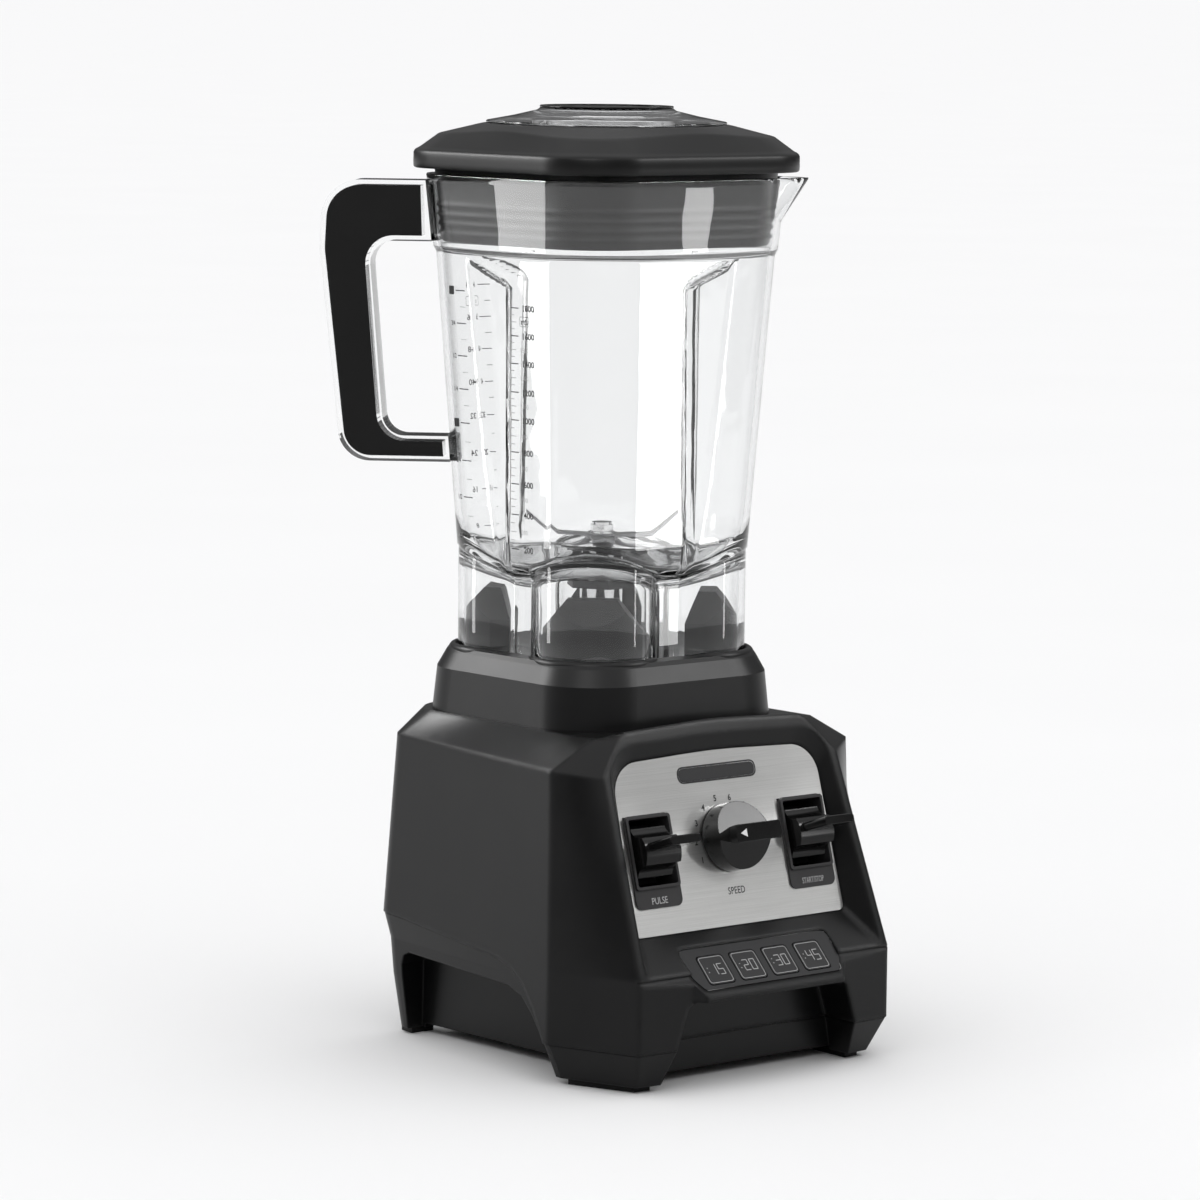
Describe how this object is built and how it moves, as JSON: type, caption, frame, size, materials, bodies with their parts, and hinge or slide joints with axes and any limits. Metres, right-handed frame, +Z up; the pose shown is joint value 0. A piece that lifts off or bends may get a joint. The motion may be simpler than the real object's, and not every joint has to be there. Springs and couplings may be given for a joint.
{
  "type": "countertop blender",
  "caption": "Countertop blender: black motor base with a leaning steel control plate, clear square jar with handle and lip, blade set, lid and clear filler cap.",
  "frame": {"origin": "on the surface the blender stands on, on the drive axis", "axes": "+Z up, -Y towards the user (the control plate's side), +X to the user's right"},
  "size_m": [0.2004, 0.2362, 0.457],
  "materials": {
    "satin_black": "moulded satin black plastic",
    "soft_black": "soft satin black thermoplastic rubber",
    "lid_rubber": "satin black lid rubber",
    "black_rubber": "matte black rubber",
    "brushed_plate": "brushed sideways",
    "switch_label": "dark grey label and bezel",
    "gloss_black": "glossy black plastic",
    "grip_black": "satin black grip",
    "keypad": "charcoal keypad film",
    "inner_plastic": "plain inner moulding",
    "clear_plastic": "clear copolyester",
    "polished_steel": "polished stainless steel",
    "plain_steel": "turned steel",
    "lamination_steel": "stacked lamination steel",
    "copper_wire": "enamelled copper",
    "cast_metal": "die cast",
    "brass_parts": "pressed brass",
    "carbon": "pressed carbon",
    "circuit_board": "printed circuit board"
  },
  "bodies": {
    "base": {"upper_housing": "satin_black", "bottom_pan": "satin_black", "rubber_feet": "black_rubber", "control_plate": "brushed_plate", "panel_carrier": "satin_black", "pulse_bezel": "switch_label", "start_bezel": "switch_label", "pulse_switch": "inner_plastic", "start_switch": "inner_plastic", "speed_control": "inner_plastic", "keypad_bezel": "keypad", "timer_board": "circuit_board", "cord_gland": "satin_black", "breaker": "inner_plastic", "field_stack": "lamination_steel", "field_coils": "copper_wire", "motor_top_bracket": "cast_metal", "motor_low_bracket": "cast_metal", "motor_bearings": "polished_steel", "through_bolts": "plain_steel", "motor_mounts": "black_rubber", "brush_holders": "brass_parts", "carbon_brushes": "carbon", "air_baffle": "inner_plastic", "control_board": "circuit_board", "jar_pad": "soft_black", "pad_screws": "polished_steel"},
    "motor_rotor": {"motor_shaft": "plain_steel", "armature_core": "lamination_steel", "armature_windings": "copper_wire", "commutator": "copper_wire", "cooling_fan": "inner_plastic", "drive_socket": "plain_steel"},
    "jar": {"jar_body": "clear_plastic", "handle_grip": "grip_black", "jar_gasket": "black_rubber", "bearing_housing": "polished_steel", "retainer_nut": "inner_plastic", "blade_bearings": "polished_steel", "shaft_seal": "black_rubber"},
    "blades": {"blade_shaft": "polished_steel", "upper_blade": "polished_steel", "lower_blade": "polished_steel", "blade_washer": "polished_steel", "blade_nut": "polished_steel", "drive_spline": "plain_steel"},
    "lid": {"lid": "lid_rubber"},
    "filler_cap": {"filler_cap": "clear_plastic"},
    "pulse_paddle": {"pulse_paddle": "gloss_black"},
    "start_paddle": {"start_paddle": "gloss_black"},
    "speed_knob": {"speed_knob": "gloss_black", "speed_shaft": "plain_steel"},
    "timer_key_15": {"timer_key_15": "keypad"},
    "timer_key_20": {"timer_key_20": "keypad"},
    "timer_key_30": {"timer_key_30": "keypad"},
    "timer_key_45": {"timer_key_45": "keypad"},
    "reset_button": {"reset_button": "gloss_black"}
  },
  "joints": [
    {"name": "motor_spin", "type": "hinge", "parent": "base", "child": "motor_rotor", "pos_m": [0, 0, 0.1], "axis": [0, 0, 1], "continuous": true},
    {"name": "jar_lift", "type": "slide", "parent": "base", "child": "jar", "axis": [0, 0, 1], "range_m": [0, 0.06]},
    {"name": "blade_spin", "type": "hinge", "parent": "jar", "child": "blades", "pos_m": [0, 0, 0.24], "axis": [0, 0, 1], "continuous": true},
    {"name": "lid_lift", "type": "slide", "parent": "jar", "child": "lid", "axis": [0, 0, 1], "range_m": [0, 0.05]},
    {"name": "cap_lift", "type": "slide", "parent": "lid", "child": "filler_cap", "axis": [0, 0, 1], "range_m": [0, 0.03]},
    {"name": "pulse_press", "type": "hinge", "parent": "base", "child": "pulse_paddle", "pos_m": [-0.049, -0.09312, 0.10913], "axis": [1, 0, 0], "range_deg": [0, 14], "stiffness_Nm_per_rad": 0.6},
    {"name": "start_press", "type": "hinge", "parent": "base", "child": "start_paddle", "pos_m": [0.049, -0.09312, 0.10913], "axis": [1, 0, 0], "range_deg": [-12, 12], "stiffness_Nm_per_rad": 0.6},
    {"name": "speed_turn", "type": "hinge", "parent": "base", "child": "speed_knob", "pos_m": [0, -0.09448, 0.11169], "axis": [0, -0.9636, 0.2672], "range_deg": [-211, 26]},
    {"name": "timer_key_15_press", "type": "slide", "parent": "base", "child": "timer_key_15", "axis": [0, 0.712, -0.7022], "range_m": [0, 0.0008], "stiffness_N_per_m": 400},
    {"name": "timer_key_20_press", "type": "slide", "parent": "base", "child": "timer_key_20", "axis": [0, 0.712, -0.7022], "range_m": [0, 0.0008], "stiffness_N_per_m": 400},
    {"name": "timer_key_30_press", "type": "slide", "parent": "base", "child": "timer_key_30", "axis": [0, 0.712, -0.7022], "range_m": [0, 0.0008], "stiffness_N_per_m": 400},
    {"name": "timer_key_45_press", "type": "slide", "parent": "base", "child": "timer_key_45", "axis": [0, 0.712, -0.7022], "range_m": [0, 0.0008], "stiffness_N_per_m": 400},
    {"name": "reset_press", "type": "slide", "parent": "base", "child": "reset_button", "axis": [0, -1, 0], "range_m": [0, 0.0015], "stiffness_N_per_m": 300}
  ],
  "couplings": [
    {"joint": "blade_spin", "follows": "motor_spin", "ratio": 1}
  ]
}
